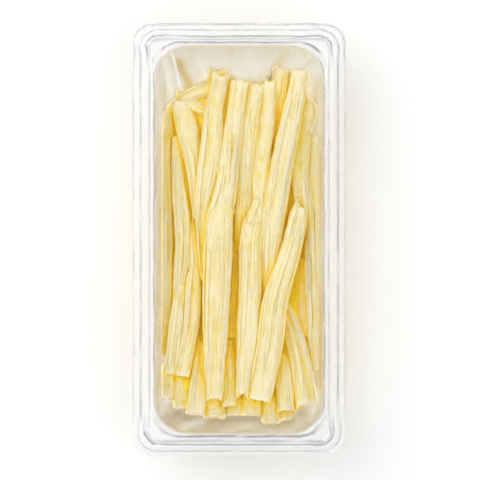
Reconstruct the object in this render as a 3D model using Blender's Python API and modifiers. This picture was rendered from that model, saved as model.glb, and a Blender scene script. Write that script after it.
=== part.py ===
# A sealed tray of string cheese: clear tray, heap of pulled strands, and clear film drawn down over them.
# Metres, +Z up. X runs across the tray, Y along it. The origin is on the table under the tray's middle.

import math
import random

import bmesh
import bpy
from mathutils import Vector
from mathutils.bvhtree import BVHTree

MM = 0.001

# Tray
TRAY_LENGTH = 190 * MM
TRAY_WIDTH = 93 * MM
TRAY_HEIGHT = 30 * MM
TRAY_WALL = 0.6 * MM
TRAY_CORNER_STEPS = 7
OUTER_CORNER = 8.5 * MM
BEAD_INNER_CORNER = 4.5 * MM
OPENING_CORNER = 15 * MM
FLOOR_CORNER = 8 * MM
LAND_DROP = 1 * MM
LAND_START = 7 * MM
OPENING_INSET = 8.6 * MM
WALL_FOOT_INSET = 13.4 * MM
FLOOR_INSET = 16.2 * MM

# Film
FILM_THICKNESS = 0.3 * MM
FILM_OVERLAP = 1.2 * MM
FILM_CELLS_ACROSS = 18
FILM_CELLS_ALONG = 38
FILM_PULL = 0.55 * MM
FILM_PASSES = 400
FILM_REACH = 0.75  # how far round each point of the film the heap holds it up, in cells
SEAL_CLEARANCE = 0.4 * MM  # between the film's edge and the bead round the tray's land
FOLD_CLEARANCE = 0.2 * MM  # between the opening's edge and the first fold line of the film
GAP = 0.35 * MM

# Strands
STRAND_SIDES = 8
STRAND_FLATNESS = 0.72
STRAND_STEP = 12
FEWEST_STATIONS = 4
CAP_WELD = 0.01 * MM
SHARP_FOLD = math.radians(50)
LAYER_SEED = 7

CHEESE_COLOUR = (0.92, 0.83, 0.55, 1)
CLEAR_COLOUR = (0.93, 0.95, 0.95, 1)

# Strands that show from above, by hand. Stations along each: x, y, height of its middle, width, in mm
TOP_STRANDS = {
    "crossing_right": [(27.2, 16.2, 19.6, 4), (26.2, 10, 20.2, 7.2), (22.7, -4.6, 20.8, 7.9),
                       (16, -26.6, 21.4, 10), (13.3, -48.6, 20.8, 10.1), (9.2, -71.5, 18.8, 9.5)],
    "long_left": [(0.5, 70.5, 19.6, 7.4), (-2.6, 48, 20.6, 7.3), (-5.9, 24, 21.4, 8.6),
                  (-8.6, 8.6, 21.8, 10.8), (-9.7, -14, 22, 11.6), (-10.7, -44, 21, 9.7),
                  (-10.9, -71.5, 18.6, 6.8)],
    "beside_long_left": [(-8.4, 73, 18.4, 8), (-10.8, 57, 19.4, 8), (-13.3, 35, 20, 9),
                         (-15.6, 17.4, 19.6, 6.8), (-16.4, 2, 18.6, 5.4), (-15, -18, 17, 5)],
    "long_right": [(27.4, 75, 19.4, 7.5), (25, 62, 20.4, 8), (21.4, 46, 20.8, 8.6), (18.4, 30, 20.6, 9.2),
                   (15.6, 11, 19.8, 8.8), (13.6, -6, 18.8, 7.2), (12, -33, 16.6, 6)],
    "middle_right": [(13.8, 71, 18.4, 5), (12.2, 50, 19.4, 6), (9.2, 28.4, 20, 6.6),
                     (6.7, 6.4, 20.2, 7.6), (4.8, -16, 20.2, 9.4), (3.8, -40, 19.8, 9.7),
                     (1.6, -69.3, 18, 6.2)],
    "middle": [(8, 69.5, 18, 7.2), (5, 50, 18.4, 7.3), (2.9, 30, 18.4, 7.4), (1.4, 10, 17.8, 7),
               (0.7, -5, 17, 4.6)],
    "behind_right": [(18.6, 76, 16.8, 7.4), (17.6, 64, 16.4, 7), (16.6, 54, 15.4, 5), (15, 42, 14.6, 4)],
    "fan_left": [(-26, 60.4, 16, 8), (-22.8, 47, 17.8, 9), (-20.2, 30, 18.6, 5.4), (-18.8, 9, 18, 3.6)],
    "left_second": [(-26.4, 40, 14.6, 3.2), (-26.4, 22, 16.8, 5.4), (-25.3, 4, 17.6, 6),
                    (-26, -14, 16.8, 5.8), (-27, -28, 15.4, 5)],
    "left_inner": [(-21.4, 10, 15.6, 3), (-20.6, -4, 16.4, 4.6), (-19.6, -18, 16, 4.6),
                   (-18.6, -30, 15, 3.6)],
    "left_foot_outer": [(-25.4, -20, 17, 4), (-27.1, -35.4, 18.2, 5.8), (-28.7, -48.6, 17.8, 5.8),
                        (-30, -60.4, 17, 6)],
    "left_foot_inner": [(-19.8, -9, 16.8, 2.6), (-20.3, -22, 18.8, 6.2), (-21.6, -40, 19.2, 6.4),
                        (-25.2, -61, 18, 6)],
    "left_foot": [(-17.2, -37, 14.6, 2.4), (-17.7, -53, 15.8, 5.2), (-18.6, -68, 16, 7.2),
                  (-19.5, -78, 15.2, 8)],
    "left_edge": [(-32.4, 50, 14.4, 3.4), (-32.6, 20, 14.8, 4.2), (-32.4, -6, 14.8, 4.4),
                  (-32.8, -32, 14.2, 4.2), (-33.4, -52, 13.4, 3.6)],
    "deep_middle": [(-1.4, 38, 14.4, 5.4), (-2.2, 4, 14, 5.4), (-2.8, -40, 13.4, 5.6)],
    "middle_foot": [(-4, -44, 15, 3), (-4.4, -56, 16, 5), (-4.5, -74.5, 15.6, 6)],
    "right_inner": [(28.2, 50, 15.2, 5.6), (26.6, 38, 15.6, 5), (26, 26, 15.2, 3.8), (26.6, 14, 14.8, 3.6),
                    (27.6, 0, 14.2, 3.4)],
    "leaf_right": [(30.6, 62.5, 17.4, 4.4), (30.8, 56, 17.8, 7), (29.6, 46.5, 17.6, 3)],
    "right_edge": [(32.4, 46, 15.6, 3.6), (32.6, 28, 16.4, 5), (32.6, 6, 16.6, 5.4),
                   (32.4, -12, 16.6, 6.4), (32.9, -30, 16.2, 5.4), (33.2, -44, 15.6, 4.8),
                   (33.2, -58, 15, 3.8)],
    "right_second": [(28.2, -8, 14, 3.4), (28.4, -20, 14.4, 4), (28.8, -34, 14.2, 4),
                     (29.4, -44, 13.8, 3.2)],
    "right_foot": [(22.9, -24, 14.4, 2.6), (24.4, -38.6, 15.6, 7), (26.8, -51, 16.4, 7.8),
                   (30, -73.6, 15.6, 9.2)],
    "under_right_foot": [(18.6, -54.5, 13.8, 2.2), (19.6, -61, 14.4, 5), (20.6, -75.5, 14, 6.8)],
    "top_flap": [(-28.4, 60.4, 14.4, 4.6), (-22, 63.4, 15.8, 6.6), (-14.6, 63.6, 15.6, 7.6)],
    "top_left": [(-31.8, 57, 13.6, 3.4), (-31.4, 45, 13.4, 4)],
    "top_fringe": [(-9.8, 74.8, 15.8, 7), (-10.6, 60, 15.4, 7)],
    "top_middle": [(-5.4, 70.6, 15.2, 6), (-7, 56, 14.6, 5.4)],
    "foot_under_long": [(-11.2, -60, 12.8, 8.8), (-11, -80.8, 12.4, 9.4)],
    "foot_middle_left": [(-2.4, -64, 12, 6.6), (-1.6, -78.6, 11.6, 7)],
    "foot_middle_right": [(5.6, -62, 13, 8), (5.8, -78.4, 12.6, 8)],
    "foot_corner_in": [(13.8, -64, 12.6, 7.6), (14, -82, 12, 7.8)],
    "foot_corner_out": [(21.6, -68, 11.4, 7), (21.8, -80.8, 11, 7.2)],
    "foot_far_right": [(28, -64, 11.4, 6.4), (28, -76.2, 11, 6)],
    "foot_far_left": [(-31, -55, 13.6, 6), (-31.8, -70.4, 13, 6.4)],
    "foot_left_low": [(-25.4, -56, 13, 6.2), (-26, -75.4, 12.4, 6)],
}

# Lower layers, in mm: height of the middle, number of strands, half width and half length covered, width
LOWER_LAYERS = [
    (4.3, 8, 25.5, 74, 7.4),
    (9.6, 8, 28.5, 76, 7.2),
    (14.8, 7, 23.5, 68, 7.6),
]

# How much the lower strands differ from each other, in mm but for the width, which is a share
LAYER_DISORDER = {
    "lean": 1.6,
    "top": 7,
    "foot": 4,
    "rise": 0.5,
    "width": 0.08,
    "width at the top": 0.94,
    "width at the foot": 0.96,
}

# The solid middle that the strands are pressed against, in mm: half width, half length, foot, top
CORE = (26, 66, 1.6, 13)


def clear_scene():
    for item in list(bpy.data.objects):
        bpy.data.objects.remove(item)


def collection(name):
    made = bpy.data.collections.new(name)
    bpy.context.scene.collection.children.link(made)
    return made


def material(name, colour, roughness, alpha=1.0):
    made = bpy.data.materials.new(name)
    made.use_nodes = True
    shader = made.node_tree.nodes["Principled BSDF"]
    shader.inputs["Base Color"].default_value = colour
    shader.inputs["Roughness"].default_value = roughness
    shader.inputs["Metallic"].default_value = 0.0
    shader.inputs["Alpha"].default_value = alpha
    made.diffuse_color = colour
    return made


def new_object(name, mesh, group, finish=None):
    item = bpy.data.objects.new(name, mesh)
    group.objects.link(item)
    if finish:
        item.data.materials.append(finish)
    return item


def rounded_outline(inset, corner, z, steps=TRAY_CORNER_STEPS):
    """Points round a rounded rectangle that lies inset inside the tray's outer edge."""
    half_width = TRAY_WIDTH / 2 - inset
    half_length = TRAY_LENGTH / 2 - inset
    points = []
    for quarter, (side_x, side_y) in enumerate(((1, 1), (-1, 1), (-1, -1), (1, -1))):
        centre_x = side_x * (half_width - corner)
        centre_y = side_y * (half_length - corner)
        for step in range(steps + 1):
            angle = math.pi / 2 * (quarter + step / steps)
            points.append((centre_x + corner * math.cos(angle), centre_y + corner * math.sin(angle), z))
    return points


def loft(rings, cap_first, cap_last):
    """A mesh through rings of equally many points, from the first to the last."""
    shape = bmesh.new()
    loops = [[shape.verts.new(point) for point in ring] for ring in rings]
    count = len(rings[0])
    for lower, upper in zip(loops, loops[1:]):
        for k in range(count):
            after = (k + 1) % count
            shape.faces.new((lower[k], lower[after], upper[after], upper[k]))
    if cap_first:
        shape.faces.new(list(reversed(loops[0])))
    if cap_last:
        shape.faces.new(loops[-1])
    bmesh.ops.recalc_face_normals(shape, faces=shape.faces)
    return shape


def tray_stations():
    """The tray's upper face from the skirt's hem in to the floor: inset, height, corner radius."""
    top = TRAY_HEIGHT
    land = top - LAND_DROP
    return [
        (0.0, top - 4.2 * MM, OUTER_CORNER),
        (0.3 * MM, top - 2.0 * MM, OUTER_CORNER),
        (0.9 * MM, top - 1.4 * MM, OUTER_CORNER),
        (2.8 * MM, top - 1.4 * MM, OUTER_CORNER),
        (3.5 * MM, top - 0.3 * MM, OUTER_CORNER),
        (4.1 * MM, top, OUTER_CORNER),
        (5.8 * MM, top, BEAD_INNER_CORNER),
        (6.4 * MM, top - 0.4 * MM, BEAD_INNER_CORNER),
        (LAND_START, land, BEAD_INNER_CORNER),
        (OPENING_INSET, land, OPENING_CORNER),
        (9.2 * MM, land - 0.6 * MM, OPENING_CORNER),
        (9.6 * MM, land - 2.2 * MM, OPENING_CORNER),
        (WALL_FOOT_INSET, 4.2 * MM, OPENING_CORNER - 4 * MM),
        (14.3 * MM, 2.0 * MM, OPENING_CORNER - 5 * MM),
        (FLOOR_INSET, TRAY_WALL, FLOOR_CORNER),
    ]


def build_tray(group):
    """One thermoformed sheet: its upper face is lofted, then given the wall downwards."""
    rings = [rounded_outline(inset, corner, z) for inset, z, corner in tray_stations()]
    shape = loft(rings, cap_first=False, cap_last=True)
    floor = max(shape.faces, key=lambda face: len(face.verts))
    if floor.normal.z < 0:
        bmesh.ops.reverse_faces(shape, faces=shape.faces)
    mesh = bpy.data.meshes.new("tray")
    shape.to_mesh(mesh)
    shape.free()
    tray = new_object("tray", mesh, group, material("tray_clear", CLEAR_COLOUR, 0.05, 0.3))
    wall = tray.modifiers.new("wall", "SOLIDIFY")
    wall.thickness = TRAY_WALL
    wall.offset = -1
    wall.use_even_offset = True
    mesh.shade_smooth()
    return tray


def smooth_stations(stations, count):
    """Stations read evenly from a smooth curve through the ones given by hand."""
    if len(stations) == 2:
        first, last = (Vector(station) for station in stations)
        return [first.lerp(last, k / (count - 1)) for k in range(count)]
    spans = len(stations) - 1
    known = [Vector(station) for station in stations]
    known = [2 * known[0] - known[1]] + known + [2 * known[-1] - known[-2]]
    result = []
    for k in range(count):
        place = k / (count - 1) * spans
        span = min(int(place), spans - 1)
        t = place - span
        before, start, end, after = known[span:span + 4]
        result.append(0.5 * (2 * start + (end - before) * t
                             + (2 * before - 5 * start + 4 * end - after) * t ** 2
                             + (3 * start - before - 3 * end + after) * t ** 3))
    return result


def strand_section(group):
    """The flattened closed outline that every strand is drawn through, one unit wide."""
    curve = bpy.data.curves.new("strand_section", "CURVE")
    curve.dimensions = "2D"
    line = curve.splines.new("POLY")
    line.points.add(STRAND_SIDES - 1)
    for k, point in enumerate(line.points):
        angle = 2 * math.pi * (k + 0.5) / STRAND_SIDES
        reach = 0.5 / math.cos(math.pi / STRAND_SIDES)
        point.co = (reach * math.cos(angle), STRAND_FLATNESS * reach * math.sin(angle), 0, 1)
    line.use_cyclic_u = True
    section = new_object("strand_section", curve, group)
    section.hide_render = True
    section.display_type = "WIRE"
    return section


def strand(name, stations, section, group):
    """A pulled strand as a closed mesh: a curve through its stations, as wide at each as the station says."""
    length = math.dist(stations[0][:3], stations[-1][:3])
    count = max(FEWEST_STATIONS, round(length / STRAND_STEP))
    curve = bpy.data.curves.new(name, "CURVE")
    curve.dimensions = "3D"
    curve.twist_mode = "Z_UP"
    curve.bevel_mode = "OBJECT"
    curve.bevel_object = section
    curve.use_fill_caps = True
    line = curve.splines.new("POLY")
    line.points.add(count - 1)
    for point, station in zip(line.points, smooth_stations(stations, count)):
        point.co = (station[0] * MM, station[1] * MM, station[2] * MM, 1)
        point.radius = station[3] * MM
    drawn = new_object(name + "_line", curve, group)
    view = bpy.context.evaluated_depsgraph_get()
    mesh = bpy.data.meshes.new_from_object(drawn.evaluated_get(view))
    shape = bmesh.new()
    shape.from_mesh(mesh)
    bmesh.ops.remove_doubles(shape, verts=shape.verts, dist=CAP_WELD)
    bmesh.ops.recalc_face_normals(shape, faces=shape.faces)
    shape.to_mesh(mesh)
    shape.free()
    solid = new_object(name, mesh, group)
    solid.matrix_world = drawn.matrix_world
    bpy.data.objects.remove(drawn)
    bpy.data.curves.remove(curve)
    return solid


def lower_strands():
    """Stations of the strands beneath, spread evenly over the tray with a little disorder."""
    draw = random.Random(LAYER_SEED)
    most = LAYER_DISORDER
    for z, count, half_width, half_length, width in LOWER_LAYERS:
        for k in range(count):
            x = half_width * (2 * k / (count - 1) - 1)
            lean = draw.uniform(-most["lean"], most["lean"])
            top = half_length - draw.uniform(0, most["top"])
            foot = -half_length + draw.uniform(0, most["foot"])
            rise = draw.uniform(-most["rise"], most["rise"])
            wide = width * draw.uniform(1 - most["width"], 1 + most["width"])
            yield [
                (x + lean, top, z, wide * most["width at the top"]),
                (x, 0, z + rise, wide),
                (x - lean, foot, z, wide * most["width at the foot"]),
            ]


def build_core(group):
    half_width, half_length, low, high = (value * MM for value in CORE)
    shape = bmesh.new()
    bmesh.ops.create_cube(shape, size=1)
    bmesh.ops.scale(shape, verts=shape.verts, vec=(2 * half_width, 2 * half_length, high - low))
    bmesh.ops.translate(shape, verts=shape.verts, vec=(0, 0, (low + high) / 2))
    mesh = bpy.data.meshes.new("core")
    shape.to_mesh(mesh)
    shape.free()
    return new_object("core", mesh, group)


def build_cavity(group):
    """The room inside the tray, less a small gap: what the cheese is pressed into."""
    inner = [station for station in tray_stations() if station[0] >= OPENING_INSET]
    rings = []
    for inset, z, corner in inner:
        rings.append(rounded_outline(inset + GAP, corner, max(z, TRAY_WALL + GAP)))
    shape = loft(rings, cap_first=True, cap_last=True)
    mesh = bpy.data.meshes.new("cavity")
    shape.to_mesh(mesh)
    shape.free()
    cavity = new_object("cavity", mesh, group)
    cavity.hide_render = True
    cavity.display_type = "WIRE"
    return cavity


def apply_modifiers(item):
    view = bpy.context.evaluated_depsgraph_get()
    mesh = bpy.data.meshes.new_from_object(item.evaluated_get(view))
    item.modifiers.clear()
    item.data = mesh


def keep_largest_shell(mesh):
    """Leaves one closed body: sealed hollows are filled and loose scraps dropped."""
    shape = bmesh.new()
    shape.from_mesh(mesh)
    unseen = set(shape.faces)
    shells = []
    while unseen:
        reached = [unseen.pop()]
        shell = list(reached)
        while reached:
            for edge in reached.pop().edges:
                for face in edge.link_faces:
                    if face in unseen:
                        unseen.remove(face)
                        reached.append(face)
                        shell.append(face)
        shells.append(shell)
    shells.sort(key=len)
    for shell in shells[:-1]:
        bmesh.ops.delete(shape, geom=shell, context="FACES")
    bmesh.ops.triangulate(shape, faces=shape.faces)
    shape.to_mesh(mesh)
    shape.free()


def build_heap(group, cutters):
    """All strands that show, fused on the solid middle and pressed into the tray."""
    pieces = collection("strands")
    section = strand_section(cutters)
    for name, stations in TOP_STRANDS.items():
        strand(name, stations, section, pieces)
    for k, stations in enumerate(lower_strands()):
        strand(f"lower_{k}", stations, section, pieces)
    heap = build_core(group)
    heap.name = heap.data.name = "cheese_heap"
    join = heap.modifiers.new("fuse", "BOOLEAN")
    join.operation = "UNION"
    join.operand_type = "COLLECTION"
    join.collection = pieces
    join.solver = "MANIFOLD"
    press = heap.modifiers.new("press", "BOOLEAN")
    press.operation = "INTERSECT"
    press.object = build_cavity(cutters)
    press.solver = "MANIFOLD"
    apply_modifiers(heap)
    for item in list(pieces.objects):
        bpy.data.objects.remove(item)
    bpy.data.collections.remove(pieces)
    keep_largest_shell(heap.data)
    heap.data.materials.append(material("cheese", CHEESE_COLOUR, 0.5))
    heap.data.shade_smooth()
    heap.data.set_sharp_from_angle(angle=SHARP_FOLD)
    return heap


def film_lines(half, cells):
    """Grid lines across the film: the sealed edge, the opening's edge, then even cells between."""
    inner = half - (OPENING_INSET - LAND_START) - FOLD_CLEARANCE
    lines = [-half]
    lines += [inner * (2 * k / cells - 1) for k in range(cells + 1)]
    lines.append(half)
    return lines


def round_corner(x, y, half_width, half_length, corner):
    """Moves a point of a rectangle's corner square on to the rounded corner."""
    beyond_x = abs(x) - (half_width - corner)
    beyond_y = abs(y) - (half_length - corner)
    if beyond_x <= 0 or beyond_y <= 0:
        return x, y
    shrink = max(beyond_x, beyond_y) / math.hypot(beyond_x, beyond_y)
    round_x = math.copysign(half_width - corner + beyond_x * shrink, x)
    round_y = math.copysign(half_length - corner + beyond_y * shrink, y)
    return round_x, round_y


def height_over(heap_tree, x, y, reach):
    """The highest point of the heap within reach of x, y."""
    highest = TRAY_WALL
    for step_x in (-1, -0.5, 0, 0.5, 1):
        for step_y in (-1, -0.5, 0, 0.5, 1):
            start = Vector((x + step_x * reach, y + step_y * reach, 2 * TRAY_HEIGHT))
            hit = heap_tree.ray_cast(start, Vector((0, 0, -1)))[0]
            if hit:
                highest = max(highest, hit.z)
    return highest


def build_film(group, heap):
    """The film: pinned to the tray's land, pulled down inside, and held up by the heap."""
    half_width = TRAY_WIDTH / 2 - LAND_START - SEAL_CLEARANCE
    half_length = TRAY_LENGTH / 2 - LAND_START - SEAL_CLEARANCE
    across = film_lines(half_width, FILM_CELLS_ACROSS)
    along = film_lines(half_length, FILM_CELLS_ALONG)
    corner = OPENING_CORNER + FILM_OVERLAP
    corners = [vert.co for vert in heap.data.vertices]
    tree = BVHTree.FromPolygons(corners, [face.vertices for face in heap.data.polygons])
    reach = (across[3] - across[2]) * FILM_REACH
    sealed = TRAY_HEIGHT - LAND_DROP + GAP
    columns, rows = len(across), len(along)
    place, low, height = {}, {}, {}
    for i in range(columns):
        for j in range(rows):
            spot = round_corner(across[i], along[j], half_width, half_length, corner)
            place[i, j] = spot
            pinned = i in (0, 1, columns - 2, columns - 1) or j in (0, 1, rows - 2, rows - 1)
            low[i, j] = sealed if pinned else min(height_over(tree, *spot, reach) + GAP, sealed)
            height[i, j] = sealed
    free = [(i, j) for i in range(2, columns - 2) for j in range(2, rows - 2)]
    for _ in range(FILM_PASSES):
        for i, j in free:
            level = (height[i - 1, j] + height[i + 1, j] + height[i, j - 1] + height[i, j + 1]) / 4
            height[i, j] = max(low[i, j], level - FILM_PULL)
    shape = bmesh.new()
    bmesh.ops.create_grid(shape, x_segments=columns - 1, y_segments=rows - 1, size=1)
    for vert in shape.verts:
        i = round((vert.co.x + 1) / 2 * (columns - 1))
        j = round((vert.co.y + 1) / 2 * (rows - 1))
        vert.co = (*place[i, j], height[i, j])
    bmesh.ops.triangulate(shape, faces=shape.faces)
    mesh = bpy.data.meshes.new("film")
    shape.to_mesh(mesh)
    shape.free()
    film = new_object("film", mesh, group, material("film_clear", CLEAR_COLOUR, 0.1, 0.2))
    skin = film.modifiers.new("skin", "SOLIDIFY")
    skin.thickness = FILM_THICKNESS
    skin.offset = 1
    mesh.shade_smooth()
    return film


def main():
    clear_scene()
    pack = collection("string_cheese_pack")
    cutters = collection("cutters")
    build_tray(pack)
    heap = build_heap(pack, cutters)
    build_film(pack, heap)


main()
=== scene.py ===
# Looks of a sealed tray of string cheese: a clear formed tray, clear film drawn down over the food,
# and the heap of pulled strands inside. Blender works in metres; the dictionaries below are in millimetres.

import math
import random

import bpy
import numpy as np
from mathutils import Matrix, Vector


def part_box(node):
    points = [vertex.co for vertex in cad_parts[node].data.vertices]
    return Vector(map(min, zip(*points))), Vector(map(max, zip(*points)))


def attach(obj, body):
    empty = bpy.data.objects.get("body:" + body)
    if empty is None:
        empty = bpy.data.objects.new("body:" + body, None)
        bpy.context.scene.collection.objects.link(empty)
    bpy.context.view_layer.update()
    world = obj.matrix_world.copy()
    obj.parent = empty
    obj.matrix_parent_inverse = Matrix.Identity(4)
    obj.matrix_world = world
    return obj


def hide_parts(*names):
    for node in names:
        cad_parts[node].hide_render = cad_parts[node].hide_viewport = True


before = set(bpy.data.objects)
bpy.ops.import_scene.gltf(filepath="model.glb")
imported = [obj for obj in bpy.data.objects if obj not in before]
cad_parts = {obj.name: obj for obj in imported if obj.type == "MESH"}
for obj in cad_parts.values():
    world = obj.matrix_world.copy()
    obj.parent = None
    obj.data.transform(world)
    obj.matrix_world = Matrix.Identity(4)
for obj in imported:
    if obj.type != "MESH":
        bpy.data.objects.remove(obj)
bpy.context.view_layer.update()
mm = 0.001
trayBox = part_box("tray")


# Shader writing

class Wire:  # a socket that can be added, multiplied and so on
    def __init__(self, finish, socket):
        self.finish = finish
        self.socket = socket

    def __add__(self, other):
        return self.finish.reckon("ADD", self, other)

    def __sub__(self, other):
        return self.finish.reckon("SUBTRACT", self, other)

    def __rsub__(self, other):
        return self.finish.reckon("SUBTRACT", other, self)

    def __mul__(self, other):
        return self.finish.reckon("MULTIPLY", self, other)

    def __pow__(self, other):
        return self.finish.reckon("POWER", self, other)

    __radd__ = __add__
    __rmul__ = __mul__


class Finish:  # a material and the nodes in it
    def __init__(self, name):
        self.material = bpy.data.materials.new(name)
        self.material.use_nodes = True
        self.tree = self.material.node_tree
        self.tree.nodes.clear()

    def node(self, kind, settings=None, values=None, out=0):
        made = self.tree.nodes.new(kind)
        for key, value in (settings or {}).items():
            setattr(made, key, value)
        for key, value in (values or {}).items():
            if isinstance(value, Wire):
                self.tree.links.new(value.socket, made.inputs[key])
            else:
                made.inputs[key].default_value = value
        return Wire(self, made.outputs[out]) if made.outputs else None

    def reckon(self, operation, first, second):
        return self.node("ShaderNodeMath", {"operation": operation}, {0: first, 1: second})

    def clip(self, wire):
        return self.node("ShaderNodeClamp", None, {0: wire})

    def step(self, wire, low, high):  # smooth step from 0 at low to 1 at high
        values = {0: wire, 1: low, 2: high}
        return self.node("ShaderNodeMapRange", {"interpolation_type": "SMOOTHSTEP"}, values)

    def blend(self, share, first, second, mode="MIX"):  # two colours
        settings = {"data_type": "RGBA", "blend_type": mode}
        return self.node("ShaderNodeMix", settings, {0: share, 6: first, 7: second}, 2)

    def stretch(self, vector, factors):
        return self.node("ShaderNodeVectorMath", {"operation": "MULTIPLY"}, {0: vector, 1: factors})

    def attribute(self, name, out):  # out 1 is a vector, out 2 a number
        return self.node("ShaderNodeAttribute", {"attribute_name": name}, None, out)

    def noise(self, vector, scale, detail=2.0, roughness=0.5, distortion=0.0):
        values = {"Vector": vector, "Scale": scale, "Detail": detail}
        values["Roughness"] = roughness
        values["Distortion"] = distortion
        return self.node("ShaderNodeTexNoise", None, values)

    def show(self, shader):
        self.node("ShaderNodeOutputMaterial", None, {"Surface": shader})
        return self.material


# Shapes

def catmull(stations, count):  # even readings from a smooth curve through the stations
    known = np.array(stations, float)
    known = np.vstack([2 * known[0] - known[1], known, 2 * known[-1] - known[-2]])
    place = np.linspace(0, len(stations) - 1, count)
    span = np.minimum(place.astype(int), len(stations) - 2)
    t = (place - span)[:, None]
    before, start, end, after = (known[span + k] for k in range(4))
    return 0.5 * (2 * start + (end - before) * t
                  + (2 * before - 5 * start + 4 * end - after) * t ** 2
                  + (3 * start - before - 3 * end + after) * t ** 3)


def wander(places, draw, wave, terms=3):  # smooth disorder of size about 1 along a line
    total = np.zeros_like(places)
    for _ in range(terms):
        length = wave * draw.uniform(0.6, 1.6)
        total += np.sin(2 * math.pi * places / length + draw.uniform(0, 2 * math.pi))
    return total / terms


def patchwork(draw, rows, columns, coarseRows, coarseColumns):  # smooth noise, seamless across the columns
    values = np.array([[draw.uniform(-1, 1) for _ in range(coarseColumns)] for _ in range(coarseRows + 2)])
    down = np.linspace(0, coarseRows, rows)
    across = np.arange(columns) / columns * coarseColumns
    row = np.minimum(down.astype(int), coarseRows)
    column = across.astype(int)
    u = (down - row)[:, None]
    v = (across - column)[None, :]
    u = u * u * (3 - 2 * u)
    v = v * v * (3 - 2 * v)
    after = (column + 1) % coarseColumns
    upper = values[row][:, column] * (1 - v) + values[row][:, after] * v
    lower = values[row + 1][:, column] * (1 - v) + values[row + 1][:, after] * v
    return upper * (1 - u) + lower * u


def layered(draw, rows, columns, terms):  # patchworks on top of each other: size, how many down and across
    return sum(size * patchwork(draw, rows, columns, down, across) for size, down, across in terms)


def aroundAngles(columns):
    return 2 * math.pi * (np.arange(columns) + 0.5) / columns


def squareRound(theta, squareness):  # a rounded square of half size 1; a squareness of 2 gives a circle
    power = 2 / squareness
    across = np.sign(np.cos(theta)) * np.abs(np.cos(theta)) ** power
    upward = np.sign(np.sin(theta)) * np.abs(np.sin(theta)) ** power
    return across, upward


def gridFaces(rows, columns, closed, first=0):  # quads over a grid of points numbered row by row
    lastColumn = columns if closed else columns - 1
    j, i = np.meshgrid(np.arange(rows - 1), np.arange(lastColumn), indexing="ij")
    nextColumn = (i + 1) % columns
    faces = np.stack([j * columns + i, (j + 1) * columns + i,
                      (j + 1) * columns + nextColumn, j * columns + nextColumn], axis=-1)
    return faces.reshape(-1, 4) + first


def meshPiece(name, points, faces, material, numbers=None, vectors=None, crease=None):
    mesh = bpy.data.meshes.new(name)
    mesh.from_pydata((np.asarray(points) * mm).tolist(), [], [list(face) for face in faces])
    for key, values in (numbers or {}).items():
        made = mesh.attributes.new(key, "FLOAT", "POINT")
        made.data.foreach_set("value", np.asarray(values, np.float32).ravel())
    for key, values in (vectors or {}).items():
        made = mesh.attributes.new(key, "FLOAT_VECTOR", "POINT")
        made.data.foreach_set("vector", np.asarray(values, np.float32).ravel())
    mesh.materials.append(material)
    mesh.shade_smooth()
    if crease:
        mesh.set_sharp_from_angle(angle=math.radians(crease))
    piece = bpy.data.objects.new(name, mesh)
    bpy.context.scene.collection.objects.link(piece)
    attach(piece, "root")
    return piece


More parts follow.
